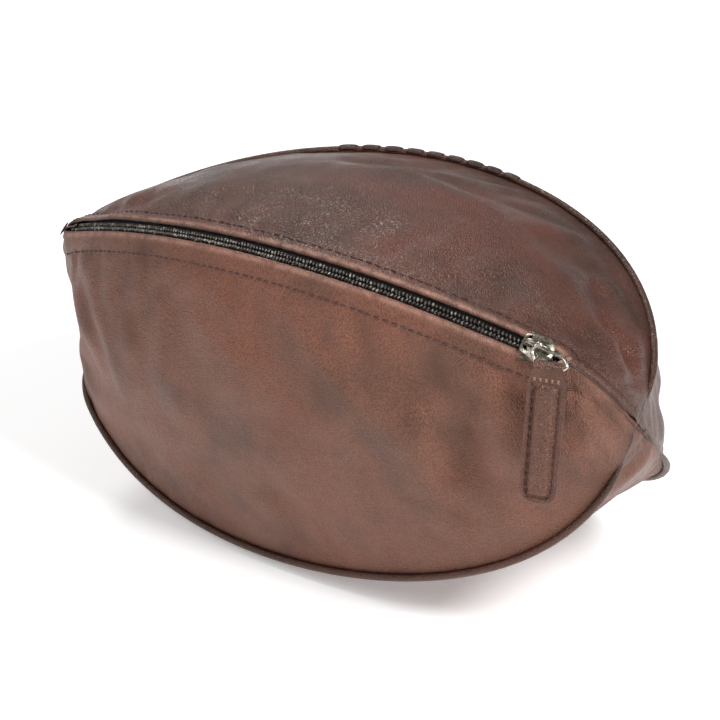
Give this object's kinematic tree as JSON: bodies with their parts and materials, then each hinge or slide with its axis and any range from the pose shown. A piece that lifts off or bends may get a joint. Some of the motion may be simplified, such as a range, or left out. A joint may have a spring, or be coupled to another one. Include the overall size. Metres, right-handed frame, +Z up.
{
  "type": "shaving kit bag",
  "caption": "Soft leather shaving kit bag, pointed at both ends, with a curved zip along the front top edge, piped seams, lace loops and a hanging leather puller.",
  "frame": {"origin": "on the surface that the bag stands on, under the middle of its box", "axes": "+X along the bag from its blunt end to the closed end of the zip, -Y out of its front panel, +Z up"},
  "size_m": [0.2818, 0.16, 0.1554],
  "materials": {
    "panel_leather": "reddish brown pebbled leather, soft satin",
    "top_leather": "darker greyish brown pebbled leather with reddish patches, satin",
    "piping_leather": "smooth dark brown leather over cord",
    "lace_leather": "dark brown lace leather",
    "puller_leather": "brown leather, finely wrinkled and polished in the middle",
    "lining_cloth": "plain woven dark lining",
    "zip_tape": "dark brown herringbone tape",
    "zip_teeth": "dark brown moulded coil",
    "slider_metal": "antique nickel, worn bright on its edges",
    "thread": "waxed dark reddish brown thread",
    "padding": "felt core"
  },
  "bodies": {
    "root": {"back_bottom_piping": "piping_leather", "back_lining": "lining_cloth", "back_panel": "top_leather", "back_top_piping": "piping_leather", "base_lining": "lining_cloth", "base_panel": "panel_leather", "bottom_stop": "slider_metal", "end_tack": "thread", "front_lining": "lining_cloth", "front_panel": "panel_leather", "front_piping": "piping_leather", "front_tape": "zip_tape", "front_teeth": "zip_teeth", "front_top_stop": "slider_metal", "front_topstitch": "thread", "front_turned_edge": "panel_leather", "lace_loop_1": "lace_leather", "lace_loop_2": "lace_leather", "lace_loop_3": "lace_leather", "lace_loop_4": "lace_leather", "lace_loop_5": "lace_leather", "lace_loop_6": "lace_leather", "lace_loop_7": "lace_leather", "lace_loop_8": "lace_leather", "lace_loop_9": "lace_leather", "start_tack": "thread", "top_lining": "lining_cloth", "top_panel": "top_leather"},
    "flap": {"flap_lining": "lining_cloth", "rear_tape": "zip_tape", "rear_teeth": "zip_teeth", "rear_top_stop": "slider_metal", "rear_topstitch": "thread", "rear_turned_edge": "top_leather", "top_flap": "top_leather"},
    "slider": {"slider_body": "slider_metal", "slider_bridge": "slider_metal"},
    "bail": {"pull_bail": "slider_metal"},
    "puller": {"puller_core": "padding", "puller_leather": "puller_leather", "puller_thread": "thread"}
  },
  "joints": [
    {"name": "slider_travel", "type": "hinge", "parent": "root", "child": "slider", "pos_m": [0.02097, 0.11997, -0.0979], "axis": [0, -0.788, -0.6157], "range_deg": [0, 43.9]},
    {"name": "flap_open", "type": "hinge", "parent": "root", "child": "flap", "pos_m": [-0.00003, 0.01115, 0.04138], "axis": [-1, 0, 0], "range_deg": [0, 25.2]},
    {"name": "bail_swing", "type": "hinge", "parent": "slider", "child": "bail", "pos_m": [0.11483, -0.06525, 0.13917], "axis": [-0.9546, -0.1834, 0.2347], "range_deg": [0, 150]},
    {"name": "puller_swing", "type": "hinge", "parent": "bail", "child": "puller", "pos_m": [0.12203, -0.06862, 0.13342], "axis": [-0.9563, -0.2924, 0], "range_deg": [0, 80]}
  ],
  "couplings": [
    {"joint": "flap_open", "follows": "slider_travel", "ratio": 0.56948}
  ]
}
